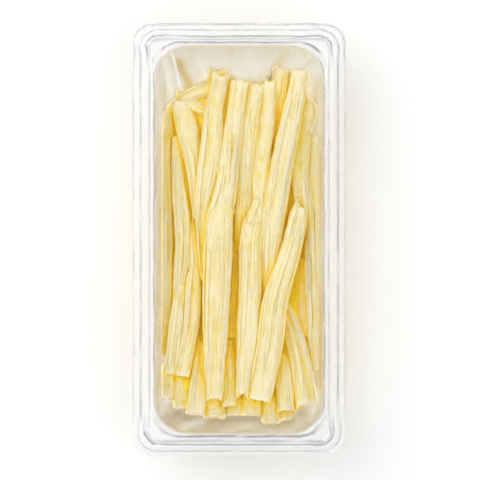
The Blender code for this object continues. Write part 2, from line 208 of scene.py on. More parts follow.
# The strands. Stations along each, from its top end to its foot: x, y, height of its middle, width
topStrands = {
    "crossingRight": [(27.6, 14.8, 19.4, 6.2), (26, 9, 20.2, 7.4), (22.7, -4.6, 20.8, 7.9),
                      (16, -26.6, 21.4, 10), (13.3, -48.6, 20.8, 10.1), (9.2, -71.5, 18.8, 9.5)],
    "longLeft": [(0.5, 70.5, 19.6, 7.4), (-2.6, 48, 20.6, 7.3), (-5.9, 24, 21.4, 8.6),
                 (-8.6, 8.6, 21.8, 10.8), (-9.7, -14, 22, 11.6), (-10.7, -44, 21, 9.7),
                 (-10.9, -71.5, 18.6, 6.8)],
    "besideLongLeft": [(-8.4, 73, 18.4, 7.6), (-11.1, 57, 19.4, 7.4), (-13.1, 35, 20, 9),
                       (-15.6, 17.4, 19.6, 6.8), (-16.4, 2, 18.6, 5.4), (-15, -18, 17, 5)],
    "longRight": [(27.4, 75, 19.4, 7.5), (25, 62, 20.4, 8), (21.4, 46, 20.8, 9), (18.4, 30, 20.6, 9.6),
                  (15.6, 11, 19.8, 8.8), (13.6, -6, 18.8, 7.2), (12, -33, 16.6, 6)],
    "middleRight": [(13.8, 71, 18.4, 5), (12.2, 50, 19.4, 6), (9.2, 28.4, 20, 6.6),
                    (8.7, 17.4, 20, 4.8), (6.3, 8.6, 20.2, 7.5), (4.8, -0.5, 20.2, 8.8),
                    (4.8, -16, 20.2, 9.4), (3.8, -40, 19.8, 9.7),
                    (1.6, -69.3, 18, 6.2)],
    "middle": [(8, 69.5, 18, 7.2), (5, 50, 18.4, 7.3), (2.9, 30, 18.4, 7.4), (1.4, 10, 17.8, 7),
               (0.7, -5, 17, 4.6)],
    "behindRight": [(18.6, 76, 16.8, 7.4), (17.6, 64, 16.4, 7), (16.6, 54, 15.4, 5), (15, 42, 14.6, 4)],
    "fanLeft": [(-26, 60.4, 16, 8), (-22.8, 47, 17.8, 9), (-20.2, 30, 18.6, 5.4), (-18.8, 9, 18, 3.6)],
    "leftSecond": [(-28.2, 46, 15, 3), (-27.4, 34, 16, 4.6), (-26.6, 20, 17, 5.4), (-25.3, 4, 17.6, 6),
                   (-26, -14, 16.8, 5.8), (-27, -28, 15.4, 5)],
    "leftInner": [(-21.4, 10, 15.6, 3), (-20.6, -4, 16.4, 4.6), (-19.6, -18, 16, 4.6),
                  (-18.6, -30, 15, 3.6)],
    "leftFootOuter": [(-25.4, -20, 17, 4), (-27.1, -35.4, 18.2, 5.8), (-28.7, -48.6, 17.8, 5.8),
                      (-30, -60.4, 17, 6)],
    "leftFootInner": [(-19.8, -9, 16.8, 2.6), (-20.3, -22, 18.8, 6.2), (-21.6, -40, 19.2, 6.4),
                      (-25.2, -61, 18, 6)],
    "leftFoot": [(-17.2, -37, 14.6, 2.4), (-17.7, -53, 15.8, 5.2), (-18.6, -68, 16, 7.2),
                 (-19.5, -78, 15.2, 8)],
    "leftEdge": [(-32.4, 50, 14.4, 3.4), (-32.6, 20, 14.8, 4.2), (-32.4, -6, 14.8, 4.4),
                 (-32.8, -32, 14.2, 4.2), (-33.4, -52, 13.4, 3.6)],
    "deepMiddle": [(-1.4, 38, 15.2, 5.6), (-2.2, 4, 15.4, 5.8), (-2.8, -44, 15, 6)],
    "middleFoot": [(-4, -44, 15, 3), (-4.4, -56, 16, 5), (-4.5, -74.5, 15.6, 6)],
    "rightInner": [(29.2, 53, 16.2, 6), (27.4, 40, 17.4, 6.6), (26.8, 28, 17.6, 6.2), (28, 15, 17, 5.2),
                   (29, 2, 15.6, 4.2)],
    "leafRight": [(30.6, 62.5, 17.4, 4.4), (30.8, 56, 17.8, 7), (29.6, 46.5, 17.6, 3)],
    "rightEdge": [(32.4, 46, 15.6, 3.6), (32.6, 28, 16.4, 5), (32.6, 6, 16.6, 5.4),
                  (32.4, -12, 16.6, 6.4), (32.9, -30, 16.2, 5.4), (33.2, -44, 15.6, 4.8),
                  (33.2, -58, 15, 3.8)],
    "rightSecond": [(28.2, -8, 14, 3.4), (28.4, -20, 14.4, 4), (28.8, -34, 14.2, 4),
                    (29.4, -44, 13.8, 3.2)],
    "rightFoot": [(17, -21, 13.6, 5), (19.2, -29, 14.4, 6.8), (24, -42, 15.6, 7.6), (27, -54, 16.4, 8),
                  (30, -73.6, 15.6, 9.2)],
    "underRightFoot": [(19.2, -50, 15, 4.4), (19.8, -58, 16, 6.6), (20.4, -68, 15.6, 7.6),
                       (21, -76.5, 14.6, 7.4)],
    "topFlap": [(-29.6, 57.8, 14.6, 4.2), (-25.4, 61.6, 15.8, 5), (-19.4, 64.8, 16.8, 5.4),
                (-11, 67.4, 16.8, 6.4)],
    "flapFold": [(-27.6, 59.6, 15.6, 3), (-22.8, 60.4, 17, 4.6), (-17.4, 58, 17.4, 4.8),
                 (-13.6, 55.4, 16.8, 4)],
    "topLeft": [(-31.8, 57, 13.6, 3.4), (-31.4, 45, 13.4, 4)],
    "topFringe": [(-9.8, 74.8, 15.8, 7), (-10.6, 60, 15.4, 7)],
    "topMiddle": [(-5.4, 70.6, 15.2, 6), (-7, 56, 14.6, 5.4)],
    "footUnderLong": [(-11.2, -60, 12.8, 8.8), (-11, -80.8, 12.4, 9.4)],
    "footMiddleLeft": [(-2.4, -64, 12, 6.6), (-1.6, -78.6, 11.6, 7)],
    "footMiddleRight": [(5.6, -62, 13, 8), (5.8, -78.4, 12.6, 8)],
    "footCornerIn": [(13.8, -64, 12.6, 7.6), (14, -82, 12, 7.8)],
    "footCornerOut": [(21.6, -68, 11.4, 7), (21.8, -80.8, 11, 7.2)],
    "footFarRight": [(28, -64, 11.4, 6.4), (28, -76.2, 11, 6)],
    "footFarLeft": [(-31, -55, 13.6, 6), (-31.8, -70.4, 13, 6.4)],
    "footLeftLow": [(-24.6, -56, 14.2, 7), (-25.2, -75.4, 13.2, 7.6)],
}

# How far each cut end leans back at its upper side and how ragged it is, at the strand's top and at its foot
strandEnds = {
    "crossingRight": ((0.4, 0.8), (0.8, 0.35)),
    "longLeft": ((1.0, 0.4), (1.2, 0.9)),
    "besideLongLeft": ((0.5, 0.9), (0.5, 0.5)),
    "topFlap": ((-0.4, 0.8), (0.5, 0.5)),
    "fanLeft": ((-0.4, 0.9), (0.5, 0.5)),
    "longRight": ((0.8, 0.35), (0.5, 0.5)),
    "middleRight": ((1.2, 0.9), (1.0, 1.5)),
    "middle": ((1.4, 0.8), (0.5, 0.5)),
    "behindRight": ((0.3, 0.5), (0.5, 0.5)),
    "leftFootOuter": ((0.5, 0.5), (1.0, 0.3)),
    "leftFootInner": ((0.5, 0.5), (1.0, 0.3)),
    "leftFoot": ((0.5, 0.5), (0.8, 0.4)),
    "rightFoot": ((0.5, 0.5), (0.8, 0.4)),
    "topFringe": ((1.6, 1.6), (0.5, 0.5)),
    "footUnderLong": ((0.5, 0.5), (2.4, 1.2)),
}

# How far a cut end slants, so that its side towards the tray's left reaches further out
strandSlants = {
    "crossingRight": (2.6, 0),
    "rightFoot": (0, 1.4),
    "behindRight": (1.2, 0),
    "leafRight": (0.8, 0),
}

# How much more golden a strand is than the rest: partly its own tone, partly painted shade on strands that
# lie low or in shade
strandToneAndShade = {
    "behindRight": 0.30, "leftEdge": 0.38, "rightSecond": 0.14, "deepMiddle": 0.05, "middleFoot": 0.30,
    "rightInner": 0.04, "flapFold": 0.12, "footUnderLong": 0.16, "footMiddleLeft": 0.20,
    "footMiddleRight": 0.16, "footLeftLow": 0.16, "topLeft": -0.05, "leftInner": 0.10, "topMiddle": 0.2,
    "topFlap": 0.05, "topFringe": -0.15, "longLeft": -0.06, "crossingRight": -0.06, "leafRight": -0.2,
}

# Low ridges across a strand: how far from its top end each lies, in mm
strandRidges = {
    "middle": (3, 6.6, 10.2, 11.6, 16, 40, 44.5),
    "topFringe": (2, 4),
    "rightFoot": (22, 30),
}

strandForm = {
    "seed": 11,
    "step": 0.8,            # between rings
    "around": 64,           # points round a ring
    "fullness": 1.09,       # wider than the stations say, as the grooves take some away again
    "flatness": 0.72,
    "squareness": 3.0,
    # how much the line, the width and the flatness vary, and over what length
    "lineSway": (0.12, 44),
    "widthSway": (0.02, 34),
    "flatSway": (0.08, 40),
    "grooves": 24,
    "grooveShift": 0.35,    # how unevenly they are spread
    "grooveDepth": (0.08, 0.5),
    "grooveWidth": (0.06, 0.2),
    "grooveSway": ((0.16, 70), (0.04, 14)),
    "grooveFade": (0.55, 0.45, 60),    # usual share of the depth, how much it varies, over what length
    "lumps": ((0.10, 16, 7), (0.16, 4, 17), (0.12, 1.6, 32)),    # size, how long, how many round
    "fullRelief": 6,        # width from which a strand has its full relief
    "ridge": (0.30, 0.55),  # height of a ridge across a strand, half width
    "toneSpread": 0.08,     # how much the strands differ in how golden they are
    "paleRim": (0.60, 2.2), # how much less golden they are at their ends, over what length
    "hollowShade": 1.3,      # painted shade: how much more golden a hollow is, for each mm of depth
    "hollowRange": (0.08, 0.7),
    "usualEnd": ((0.9, 0.5), (0.9, 0.5)),
    "endReach": (2, 2.8),   # how far along a cut end is felt, and how much further for each mm of lean
    "notches": ((1, 1, 19), (0.6, 1, 31)),
    "capRings": ((0.90, -0.10), (0.66, 0.20), (0.36, 0.32), (0.12, 0.38)),    # share of the rim, how far in
    "capRough": 0.10,
    "grainShift": 400,      # each strand has its own part of the fibre pattern
    "onTop": ("crossingRight", "longLeft", "besideLongLeft", "longRight", "middleRight", "middle"),
}

# Layers beneath: height of the middle, number of strands, half width they spread over, half length, width
lowerForm = strandForm | {
    "seed": 7,
    "layers": [(4.3, 8, 25.5, 74, 7.4), (9.6, 8, 28.5, 76, 7.2), (14.2, 7, 23.5, 68, 7.6)],
    "ends": (7, 4),         # how much the top ends and the feet differ
    "lean": 1.6,
    "dimming": 0.26,        # painted shade: their light is cut to this share, as they show only in gaps
    "step": 1.6,
    "around": 40,
    "squareness": 2.5,
    "grooves": 13,
    "lumps": ((0.22, 9, 7), (0.14, 4, 13)),
}


def relieve(theta, draw, lengths, form):  # a strand's relief: grooves between its fibre bundles, and lumps
    relief = np.zeros((len(lengths), len(theta)))
    usual, swing, fadeWave = form["grooveFade"]
    for k in range(form["grooves"]):
        middle = 2 * math.pi * (k + draw.uniform(-form["grooveShift"], form["grooveShift"])) / form["grooves"]
        for size, wave in form["grooveSway"]:
            middle = middle + size * wander(lengths, draw, wave)
        depth = draw.uniform(*form["grooveDepth"])
        spread = draw.uniform(*form["grooveWidth"])
        fade = usual + swing * wander(lengths, draw, fadeWave, 2)
        away = np.angle(np.exp(1j * (theta[None, :] - middle[:, None])))
        relief -= depth * fade[:, None] * np.exp(-(away / spread) ** 2)
    rows, columns = relief.shape
    for size, wave, pieces in form["lumps"]:
        relief += size * patchwork(draw, rows, columns, max(2, int(lengths[-1] / wave)), pieces)
    return relief


def crossRidges(theta, lengths, ridges, form):
    height, width = form["ridge"]
    relief = np.zeros((len(lengths), len(theta)))
    for ridge in ridges:
        path = ridge + 0.5 * np.sin(theta * 2 + ridge) + 0.3 * np.sin(theta * 5 + 2 * ridge)
        crest = np.exp(-((lengths[:, None] - path[None, :]) / width) ** 2)
        relief += height * crest * (0.6 + 0.4 * np.sin(theta * 3 + ridge))[None, :]
    return relief


def shapeEnds(points, along, lengths, theta, draw, form, ends, slants):  # leaning, ragged and slanted cuts
    across, _ = squareRound(theta, form["squareness"])
    lift = (np.sin(theta) + 1) / 2
    tilt = np.sign(across) * across ** 2
    least, perLean = form["endReach"]
    for end, (lean, rag), slant in zip((0, -1), ends, slants):
        inward = along[end] if end == 0 else -along[end]
        away = lengths if end == 0 else lengths[-1] - lengths
        reach = least + perLean * (abs(lean) + abs(slant) + 1.3 * rag)
        fall = np.clip(1 - away / reach, 0, 1) ** 2
        notch = layered(draw, 2, len(theta), form["notches"])[0]
        push = fall[:, None] * (lean * lift + rag * notch - slant * tilt)
        points += push[..., None] * inward


def capRings(rim, outward, draw, form):  # smaller and smaller rings that close a strand's end
    middle = rim.mean(axis=0)
    for share, sink in form["capRings"]:
        rough = np.array([draw.uniform(-form["capRough"], form["capRough"]) for _ in rim])
        yield middle + (rim - middle) * share - outward * (sink + rough)[:, None]


# Rings of points along a strand, and for each: if it is cut face, its place in the strand, how golden it is
# by its tone and by painted shade in its hollows
def layStrand(stations, draw, form, ends, ridges=(), slants=(0, 0)):
    span = math.dist(stations[0][:3], stations[-1][:3])
    line = catmull(stations, max(8, round(span / form["step"])))
    centre, width = line[:, :3], line[:, 3]
    lengths = np.concatenate([[0], np.cumsum(np.linalg.norm(np.diff(centre, axis=0), axis=1))])
    sway, wave = form["lineSway"]
    centre[:, 0] += sway * wander(lengths, draw, wave)
    along = np.gradient(centre, axis=0)
    along /= np.linalg.norm(along, axis=1)[:, None]
    side = np.cross(along, (0, 0, 1))
    side /= np.linalg.norm(side, axis=1)[:, None]
    rise = np.cross(side, along)
    theta = aroundAngles(form["around"])
    across, upward = squareRound(theta, form["squareness"])
    sway, wave = form["widthSway"]
    half = form["fullness"] * width / 2 * (1 + sway * wander(lengths, draw, wave))
    sway, wave = form["flatSway"]
    flat = form["flatness"] * (1 + sway * wander(lengths, draw, wave))
    relief = relieve(theta, draw, lengths, form) * np.minimum(1, width / form["fullRelief"])[:, None]
    relief += crossRidges(theta, lengths, ridges, form)
    local = np.zeros((len(lengths), len(theta), 3))
    local[..., 0] = lengths[:, None]
    local[..., 1] = half[:, None] * across + relief * np.cos(theta)
    local[..., 2] = (half * flat)[:, None] * upward + relief * np.sin(theta)
    points = centre[:, None] + side[:, None] * local[..., 1:2] + rise[:, None] * local[..., 2:3]
    shapeEnds(points, along, lengths, theta, draw, form, ends, slants)
    topCap = list(capRings(points[0], -along[0], draw, form))
    footCap = list(capRings(points[-1], along[-1], draw, form))
    rings = np.concatenate([topCap[::-1], points, footCap])
    capCount = len(form["capRings"])
    cut = np.pad(np.zeros(len(points)), capCount, constant_values=1)
    place = np.concatenate([[local[0]] * capCount, local, [local[-1]] * capCount])
    for k, (share, _) in enumerate(form["capRings"]):
        place[capCount - 1 - k, :, 1:] *= share
        place[-capCount + k, :, 1:] *= share
    place += np.array([draw.uniform(0, form["grainShift"]), draw.uniform(0, form["grainShift"]), 0])
    pale, reach = form["paleRim"]
    rim = pale * np.exp(-(np.minimum(lengths, lengths[-1] - lengths) / reach) ** 2)
    tone = draw.uniform(-form["toneSpread"], form["toneSpread"]) - rim
    shallow, deep = form["hollowRange"]
    # painted shade: hollows of the relief are more golden
    tone = tone[:, None] + form["hollowShade"] * np.clip(-relief - shallow, 0, deep)
    tone = np.pad(tone, ((capCount, capCount), (0, 0)), mode="edge")
    return {"rings": rings, "cut": cut, "place": place, "tone": tone}


# The inside of the tray: how far it lies in from the outer edge at each height, and its corner radius
trayInside = {
    "halfWidth": (trayBox[1].x - trayBox[0].x) / 2 / mm,
    "halfLength": (trayBox[1].y - trayBox[0].y) / 2 / mm,
    "heights": (0.6, 2.0, 4.2, 26.8, 28.4, 29.0),
    "insets": (16.2, 14.3, 13.4, 9.6, 9.2, 8.6),
    "corners": (8, 10, 11, 15, 15, 15),
    "gap": 0.35,
}


def beyondEdge(x, y, halfWidth, halfLength, corner):  # distance out of a rounded rectangle, negative inside
    overX = np.abs(x) - (halfWidth - corner)
    overY = np.abs(y) - (halfLength - corner)
    beyond = np.hypot(np.maximum(overX, 0), np.maximum(overY, 0))
    return beyond + np.minimum(np.maximum(overX, overY), 0) - corner


def roomAt(points):  # distance of points from the inside of the tray's wall
    inset = np.interp(points[..., 2], trayInside["heights"], trayInside["insets"]) + trayInside["gap"]
    corner = np.interp(points[..., 2], trayInside["heights"], trayInside["corners"])
    halfWidth = trayInside["halfWidth"] - inset
    halfLength = trayInside["halfLength"] - inset
    return -beyondEdge(points[..., 0], points[..., 1], halfWidth, halfLength, corner)


def pressIn(points):  # what would stick out through the tray is flattened against it
    pressed = points.copy()
    pressed[..., 2] = np.maximum(pressed[..., 2], trayInside["heights"][0] + trayInside["gap"])
    nudge = 0.01
    for _ in range(3):
        room = roomAt(pressed)
        slopeX = (roomAt(pressed + np.array((nudge, 0, 0))) - room) / nudge
        slopeY = (roomAt(pressed + np.array((0, nudge, 0))) - room) / nudge
        short = np.maximum(-room, 0)
        pressed[..., 0] += short * slopeX
        pressed[..., 1] += short * slopeY
    return pressed


# The heap seen as a map of heights, which the film and the colours are worked out from
heapMap = {
    "cell": 0.5,
    "halfWidth": 44,
    "halfLength": 96,
    "fill": 1.5,            # in cells
    "inner": (13, 4, 20),   # the heap proper: least height, holes filled in cells, passes of blur
}


def shiftedBy(field, rows, columns):
    return np.roll(field, (rows, columns), (0, 1))


def grown(field, radius, pick=np.maximum):  # each cell takes the highest, or lowest, within a radius in cells
    result = field
    reach = int(radius)
    for rows in range(-reach, reach + 1):
        for columns in range(-reach, reach + 1):
            if math.hypot(rows, columns) <= radius:
                result = pick(result, shiftedBy(field, rows, columns))
    return result


def filled(field, radius):  # narrow gaps closed
    return grown(grown(field, radius), radius, np.minimum)


def blurred(field, passes):
    for _ in range(passes):
        field = (field * 2 + shiftedBy(field, 0, 1) + shiftedBy(field, 0, -1)) / 4
        field = (field * 2 + shiftedBy(field, 1, 0) + shiftedBy(field, -1, 0)) / 4
    return field


def mapSize():
    return [int(2 * heapMap[key] / heapMap["cell"]) + 1 for key in ("halfLength", "halfWidth")]


def cellOf(x, y):
    rows, columns = mapSize()
    column = np.rint((x + heapMap["halfWidth"]) / heapMap["cell"]).astype(int)
    row = np.rint((y + heapMap["halfLength"]) / heapMap["cell"]).astype(int)
    return np.clip(row, 0, rows - 1), np.clip(column, 0, columns - 1)


def readMap(field, x, y):
    return field[cellOf(x, y)]


def mapHeights(strands):
    field = np.full(mapSize(), trayInside["heights"][0])
    for strand in strands:
        points = strand["rings"].reshape(-1, 3)
        np.maximum.at(field, cellOf(points[:, 0], points[:, 1]), points[:, 2])
    return filled(field, heapMap["fill"])


def coverMap(heights, least, fill, passes):  # 1 where the heap is at least this high, fading to 0 round it
    return blurred(filled((heights > least).astype(float), fill), passes)


def ramp(values, low, high):
    t = np.clip((values - low) / (high - low), 0, 1)
    return t * t * (3 - 2 * t)


# How soft light gets to the cheese, worked out here and painted into its colour and glow: painted shade in
# gaps, beneath other strands and on steep sides, painted light through the wall, at the top end and round the
# heap. Heights and distances in mm
lightForm = {
    "directions": 8,
    "reaches": (0.8, 1.6, 3.2, 6.4),
    "slack": 0.15,                  # a rise that casts no shade
    "contrast": 1.4,
    "buried": (0.55, 0.8, 5),       # share lost beneath other strands, and from and to which depth
    "steep": (0.38, 0.1, 0.95),     # share lost on a steep side, how level a steep and a level one is
    "throughWall": 0.75,            # through the tray's wall: how much, near it and low down
    "wallDistance": (6, 0.5),
    "wallHeight": (17, 13),
    "throughEnd": (0.52, 34, 66),   # in at the heap's top end: how much, and from and to which y
    "rim": (0.94, 0.08, 0.36),      # round the heap: how much, and from and to what share outside it
    "rimHeight": (8, 12),
    "endGlow": (0.12, 0.42),
    # painted golden glow in gaps: how fast it comes with the dark, its least share in the deepest ones
    "gapGlow": (1.1, 0.35, 0.04, 0.32),
    "highLoss": (0.25, 16.5, 20),   # share of it lost high up
    "flankGlow": (0.55, 11, 14),    # and on steep sides inside the heap
}


def openness(points, heights, dimming):  # how much soft light reaches a point: 1 on top, less in a gap
    form = lightForm
    x, y, z = points[..., 0], points[..., 1], points[..., 2]
    total = np.zeros_like(x)
    for k in range(form["directions"]):
        angle = 2 * math.pi * k / form["directions"]
        steepest = np.zeros_like(x)
        for reach in form["reaches"]:
            seen = readMap(heights, x + reach * math.cos(angle), y + reach * math.sin(angle))
            steepest = np.maximum(steepest, (seen - z - form["slack"]) / reach)
        total += 1 / (1 + steepest ** 2)
    sky = (total / form["directions"]) ** form["contrast"]
    lost, shallow, deep = form["buried"]
    sky *= dimming * (1 - lost * ramp(readMap(heights, x, y) - z, shallow, deep))
    throughWall = form["throughWall"] * ramp(roomAt(points), *form["wallDistance"])
    throughWall *= ramp(z, *form["wallHeight"])
    most, low, high = form["throughEnd"]
    return np.maximum(sky, np.maximum(throughWall, most * ramp(y, low, high)))


def lightOn(points, slopes, maps, dimming):  # the numbers that the cheese's finish reads, point by point
    form = lightForm
    z = points[:, 2]
    lost, steep, flat = form["steep"]
    level = ramp(slopes, steep, flat)
    light = openness(points, maps["heights"], dimming) * (1 - lost + lost * level)
    outside = 1 - readMap(maps["inner"], points[:, 0], points[:, 1])
    clearOfFloor = ramp(z, *form["rimHeight"])
    most, inner, outer = form["rim"]
    light = np.maximum(light, most * ramp(outside, inner, outer) * clearOfFloor)
    # painted light near the heap's edge on steep sides, fed to the emission
    edge = ramp(outside, *form["endGlow"]) * (1 - level) * clearOfFloor
    # painted light: how much golden emission a gap gets, most where it is dark but less in the very deepest
    rate, least, deepest, shallow = form["gapGlow"]
    paintedGapGlow = np.clip(1 - rate * light, 0, 1) * (least + (1 - least) * ramp(light, deepest, shallow))
    lost, low, high = form["highLoss"]
    paintedGapGlow *= 1 - lost * ramp(z, low, high)
    most, low, high = form["flankGlow"]
    paintedGapGlow = np.maximum(paintedGapGlow, most * (1 - level) * (1 - outside) * ramp(z, low, high))
    return {"light": light, "edge": edge, "paintedGapGlow": paintedGapGlow}


# Cheese. Linear colours: on open tops, in between, and in deep gaps. Which one shows is painted shade from
# the computed light, together with the cheese's own streaks and tone
cheeseLook = {
    "white": (0.88, 0.81, 0.60, 1),
    "pale": (0.86, 0.77, 0.47, 1),
    "butter": (0.84, 0.705, 0.31, 1),
    "golden": (0.80, 0.625, 0.085, 1),
    "deep": (0.70, 0.46, 0.01, 1),
    "cutFace": (0.86, 0.76, 0.40, 1),
    "glow": (0.43, 0.295, 0.005, 1),    # painted light: emission that stands in for light coming through the strands in deep gaps
    "endGlow": (0.56, 0.47, 0.25, 1),    # painted light: emission that stands in for light coming through their ends round the edge of the heap
    "roughness": (0.42, 0.60),
    # stretch along, across and up, then detail, roughness and distortion
    "patterns": {
        "streaks": ((0.09, 1.0, 1.0), 3, 0.6, 0.0),
        "fibres": ((0.30, 2.6, 2.6), 3, 0.6, 0.3),
        "patches": ((0.16, 0.26, 0.26), 2, 0.5, 0.0),
    },
    "grain": (1.5, 3, 0.65),
    # what makes the cheese more golden, and how much: painted shade from the computed light, and the cheese's
    # own streaks, fibres, patches and grain
    "weights": {"shade": 1.6, "streaks": 1.6, "fibres": 1.4, "patches": 0.8, "grain": 1.0},
    "gapShade": (0.84, 2.2),        # painted shade: light below which a gap is golden whatever the pattern says
    # where on that scale each colour begins and has taken over
    "steps": {"white": (0.02, -0.42), "butter": (0.0, 0.42), "golden": (0.46, 1.05), "deep": (1.1, 1.7)},
    "whiteLight": (0.80, 0.97),     # painted light: white is only where this much light is
    "cutShare": 0.6,
    "speckle": (0.35, 0.22, 0.78),  # least share of the glow, and the pattern's range
    "speckleShares": {"fibres": 0.6, "grain": 0.4},
    "reliefShares": {"streaks": 0.35, "fibres": 0.40, "grain": 0.25},
    "bump": (0.6, 0.4 * mm),
    "gloss": 0.08,
    "scatter": 0.30,
    "scatterReach": (1.0, 0.85, 0.5),
    "scatterSize": 1.1 * mm,
}


def weighed(patterns, shares):  # patterns added up by their shares
    total = 0
    for name, share in shares.items():
        total = total + patterns[name] * share
    return total


def cheeseFinish():
    look = cheeseLook
    finish = Finish("cheese")
    place = finish.attribute("place", 1)
    light = finish.attribute("light", 2)
    cut = finish.attribute("cut", 2)
    tone = finish.attribute("tone", 2)
    patterns = {}
    for name, (factors, *values) in look["patterns"].items():
        patterns[name] = finish.noise(finish.stretch(place, factors), 1.0, *values)
    patterns["grain"] = finish.noise(place, *look["grain"])
    # painted shade: less computed light makes the colour more golden, with the strand's tone and the cheese's
    # own patterns on top
    shade = (1 - light) * look["weights"]["shade"] + tone
    for name, pattern in patterns.items():
        shade = shade + (0.5 - pattern) * look["weights"][name]
    gapLight, gapWeight = look["gapShade"]
    shade = finish.reckon("MAXIMUM", shade, (gapLight - light) * gapWeight)
    whiteness = finish.step(shade, *look["steps"]["white"]) * finish.step(light, *look["whiteLight"])
    colour = finish.blend(whiteness, look["pale"], look["white"])
    for name in ("butter", "golden", "deep"):
        colour = finish.blend(finish.step(shade, *look["steps"][name]), colour, look[name])
    colour = finish.blend(cut * look["cutShare"], colour, look["cutFace"])
    least, low, high = look["speckle"]
    speckle = least + (1 - least) * finish.step(weighed(patterns, look["speckleShares"]), low, high)
    # painted light: emission in shaded gaps and round the heap's edge
    glow = finish.blend(finish.attribute("paintedGapGlow", 2) * speckle, (0, 0, 0, 1), look["glow"])
    glow = finish.blend(finish.attribute("edge", 2), glow, look["endGlow"], "ADD")
    relief = weighed(patterns, look["reliefShares"])
    strength, depth = look["bump"]
    bump = finish.node("ShaderNodeBump", None, {"Strength": strength, "Distance": depth, "Height": relief})
    low, high = look["roughness"]
    roughness = low + (high - low) * patterns["fibres"]
    return finish.show(finish.node("ShaderNodeBsdfPrincipled", None, {
        "Base Color": colour,
        "Roughness": roughness,
        "Normal": bump,
        "Subsurface Weight": look["scatter"],
        "Subsurface Radius": look["scatterReach"],
        "Subsurface Scale": look["scatterSize"],
        "Specular IOR Level": look["gloss"],
        "Emission Color": glow,
        "Emission Strength": 1.0,
    }))


def facingUp(rings):  # how much the surface faces up, from 1 on top to -1 beneath
    down = np.gradient(rings, axis=0)
    around = np.roll(rings, -1, axis=1) - np.roll(rings, 1, axis=1)
    out = np.cross(around, down)
    return out[..., 2] / np.maximum(np.linalg.norm(out, axis=2), 1e-9)


def bindStrands(name, strands, material, maps, dimming=1.0):  # several strands as one piece
    points, faces, cuts, places, tones, slopes = [], [], [], [], [], []
    first = 0
    for strand in strands:
        rows, columns = strand["rings"].shape[:2]
        points.append(strand["rings"].reshape(-1, 3))
        places.append(strand["place"].reshape(-1, 3))
        cuts.append(np.repeat(strand["cut"], columns))
        tones.append(np.broadcast_to(strand["tone"], (rows, columns)).ravel())
        slopes.append(np.abs(facingUp(strand["rings"])).ravel())
        faces += gridFaces(rows, columns, True, first).tolist()
        faces.append(list(range(first + columns - 1, first - 1, -1)))
        last = first + (rows - 1) * columns
        faces.append(list(range(last, last + columns)))
        first += rows * columns
    points = np.concatenate(points)
    numbers = lightOn(points, np.concatenate(slopes), maps, dimming)
    numbers["cut"] = np.concatenate(cuts)
    numbers["tone"] = np.concatenate(tones)
    vectors = {"place": np.concatenate(places)}
    piece = meshPiece(name, points, faces, material, numbers, vectors, 60)
    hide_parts("cheese_heap")
    print(name, "has", len(strands), "strands and", 2 * len(faces), "triangles")
    return piece


def layHeap():  # every strand of the heap, in groups
    draw = random.Random(strandForm["seed"])
    groups = {name: [] for name in ("topStrands", "sideStrands", "footStrands", "lowerStrands")}
    for name, stations in topStrands.items():
        ends = strandEnds.get(name, strandForm["usualEnd"])
        slants = strandSlants.get(name, (0, 0))
        strand = layStrand(stations, draw, strandForm, ends, strandRidges.get(name, ()), slants)
        strand["rings"] = pressIn(strand["rings"])
        strand["tone"] += strandToneAndShade.get(name, 0)
        strand["name"] = name
        if name in strandForm["onTop"]:
            groups["topStrands"].append(strand)
        elif name.startswith("foot"):
            groups["footStrands"].append(strand)
        else:
            groups["sideStrands"].append(strand)
    for stations in lowerStations():
        strand = layStrand(stations, draw, lowerForm, strandForm["usualEnd"])
        strand["rings"] = pressIn(strand["rings"])
        groups["lowerStrands"].append(strand)
    return groups


def lowerStations():
    form = lowerForm
    draw = random.Random(form["seed"])
    for z, count, halfWidth, halfLength, width in form["layers"]:
        for k in range(count):
            x = halfWidth * (2 * k / (count - 1) - 1)
            lean = draw.uniform(-form["lean"], form["lean"])
            top = halfLength - draw.uniform(0, form["ends"][0])
            foot = -halfLength + draw.uniform(0, form["ends"][1])
            middle = z + draw.uniform(-0.5, 0.5)
            wide = width * draw.uniform(0.92, 1.08)
            yield [(x + lean, top, z, wide * 0.94), (x, 0, middle, wide), (x - lean, foot, z, wide * 0.96)]


groups = layHeap()
heights = mapHeights([strand for strands in groups.values() for strand in strands])
maps = {"heights": heights, "inner": coverMap(heights, *heapMap["inner"])}
cheese = cheeseFinish()
for groupName, strands in groups.items():
    dimming = lowerForm["dimming"] if groupName == "lowerStrands" else 1.0
    bindStrands(groupName, strands, cheese, maps, dimming)


# The solid middle under the strands that show
coreForm = {
    "halfWidth": 27,
    "halfLength": 68,
    "low": 1.2,
    "high": 13.4,
    "step": 3.0,
    "around": 72,
    "squareness": 4.0,
    "lumps": ((0.03, 14, 24),),
    "seed": 5,
}


def buildCore(material):
    form = coreForm
    draw = random.Random(form["seed"])
    rows = round(2 * form["halfLength"] / form["step"])
    y = np.linspace(form["halfLength"], -form["halfLength"], rows)
    across, upward = squareRound(aroundAngles(form["around"]), form["squareness"])
    lump = 1 + layered(draw, rows, form["around"], form["lumps"])
    centre = (form["low"] + form["high"]) / 2
    rings = np.zeros((rows, form["around"], 3))
    rings[..., 0] = form["halfWidth"] * across * lump
    rings[..., 1] = y[:, None]
    rings[..., 2] = centre + (form["high"] - centre) * upward * lump
    rings = pressIn(rings)
    place = rings[..., [1, 0, 2]]
    strand = {"rings": rings, "cut": np.zeros(rows), "place": place, "tone": 0}
    return bindStrands("heapCore", [strand], material, maps, lowerForm["dimming"])


buildCore(cheese)


